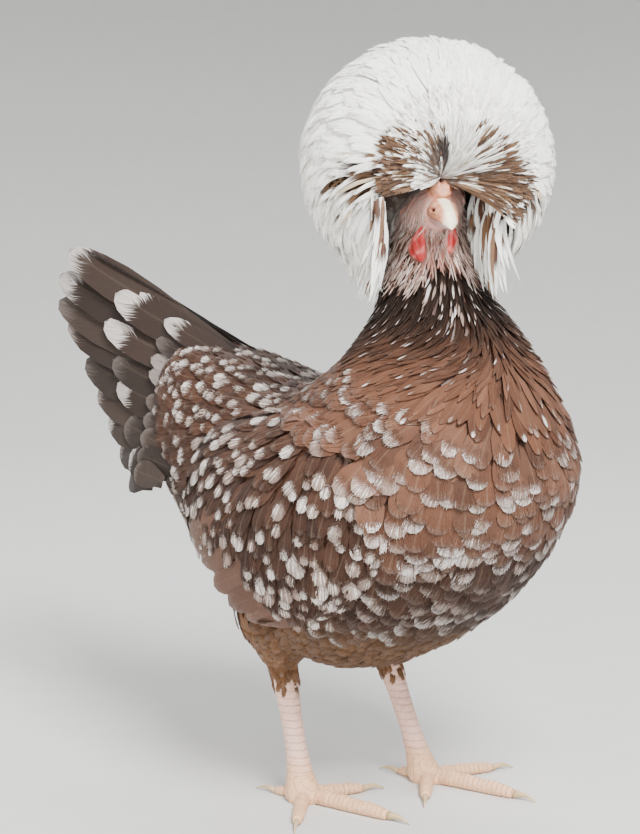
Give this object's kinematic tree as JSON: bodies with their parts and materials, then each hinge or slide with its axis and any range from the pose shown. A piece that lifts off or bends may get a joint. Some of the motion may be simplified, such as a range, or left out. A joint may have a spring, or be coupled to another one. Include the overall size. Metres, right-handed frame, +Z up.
{
  "type": "polish crested hen model",
  "caption": "Life-size still model of a standing crested hen with a globe crest, brown feathers with white spots, and pale scaled legs.",
  "frame": {"origin": "middle of the hen's box, on the floor that the feet stand on", "axes": "+Z up; the trunk faces -Y, the bird's right side is -X, and the head is turned to the bird's right"},
  "size_m": [0.1781, 0.3825, 0.4146],
  "materials": {
    "body_feathers": "chocolate brown feathers with white crescent tips",
    "wing_feathers": "dark brown wing feathers, white tips on the coverts",
    "tail_feathers": "dark brown stiff tail feathers with grey-white tips",
    "thigh_feathers": "soft tan down-like feathers",
    "crest_feathers": "cream-white long feathers, brown at the brow",
    "face_skin": "matt pink skin",
    "wattle_skin": "satin red skin",
    "earlobe_skin": "matt off-white skin",
    "eye": "glossy reddish bay with a black pupil",
    "bill_horn": "satin ivory horn",
    "bill_flesh": "satin grey-pink horn",
    "claw_horn": "satin yellow-brown horn",
    "scaled_skin": "satin pale pink scales"
  },
  "bodies": {
    "root": {"beak_lower": "bill_flesh", "beak_upper": "bill_horn", "claw_left_hind": "claw_horn", "claw_left_inner": "claw_horn", "claw_left_middle": "claw_horn", "claw_left_outer": "claw_horn", "claw_right_hind": "claw_horn", "claw_right_inner": "claw_horn", "claw_right_middle": "claw_horn", "claw_right_outer": "claw_horn", "comb": "face_skin", "crest": "crest_feathers", "earlobe_left": "earlobe_skin", "earlobe_right": "earlobe_skin", "eye_left": "eye", "eye_right": "eye", "head": "face_skin", "neck": "body_feathers", "shank_left": "scaled_skin", "shank_right": "scaled_skin", "tail": "tail_feathers", "thigh_left": "thigh_feathers", "thigh_right": "thigh_feathers", "toe_left_hind": "scaled_skin", "toe_left_inner": "scaled_skin", "toe_left_middle": "scaled_skin", "toe_left_outer": "scaled_skin", "toe_right_hind": "scaled_skin", "toe_right_inner": "scaled_skin", "toe_right_middle": "scaled_skin", "toe_right_outer": "scaled_skin", "trunk": "body_feathers", "wattle_left": "wattle_skin", "wattle_right": "wattle_skin", "wing_left": "wing_feathers", "wing_right": "wing_feathers"}
  },
  "joints": []
}
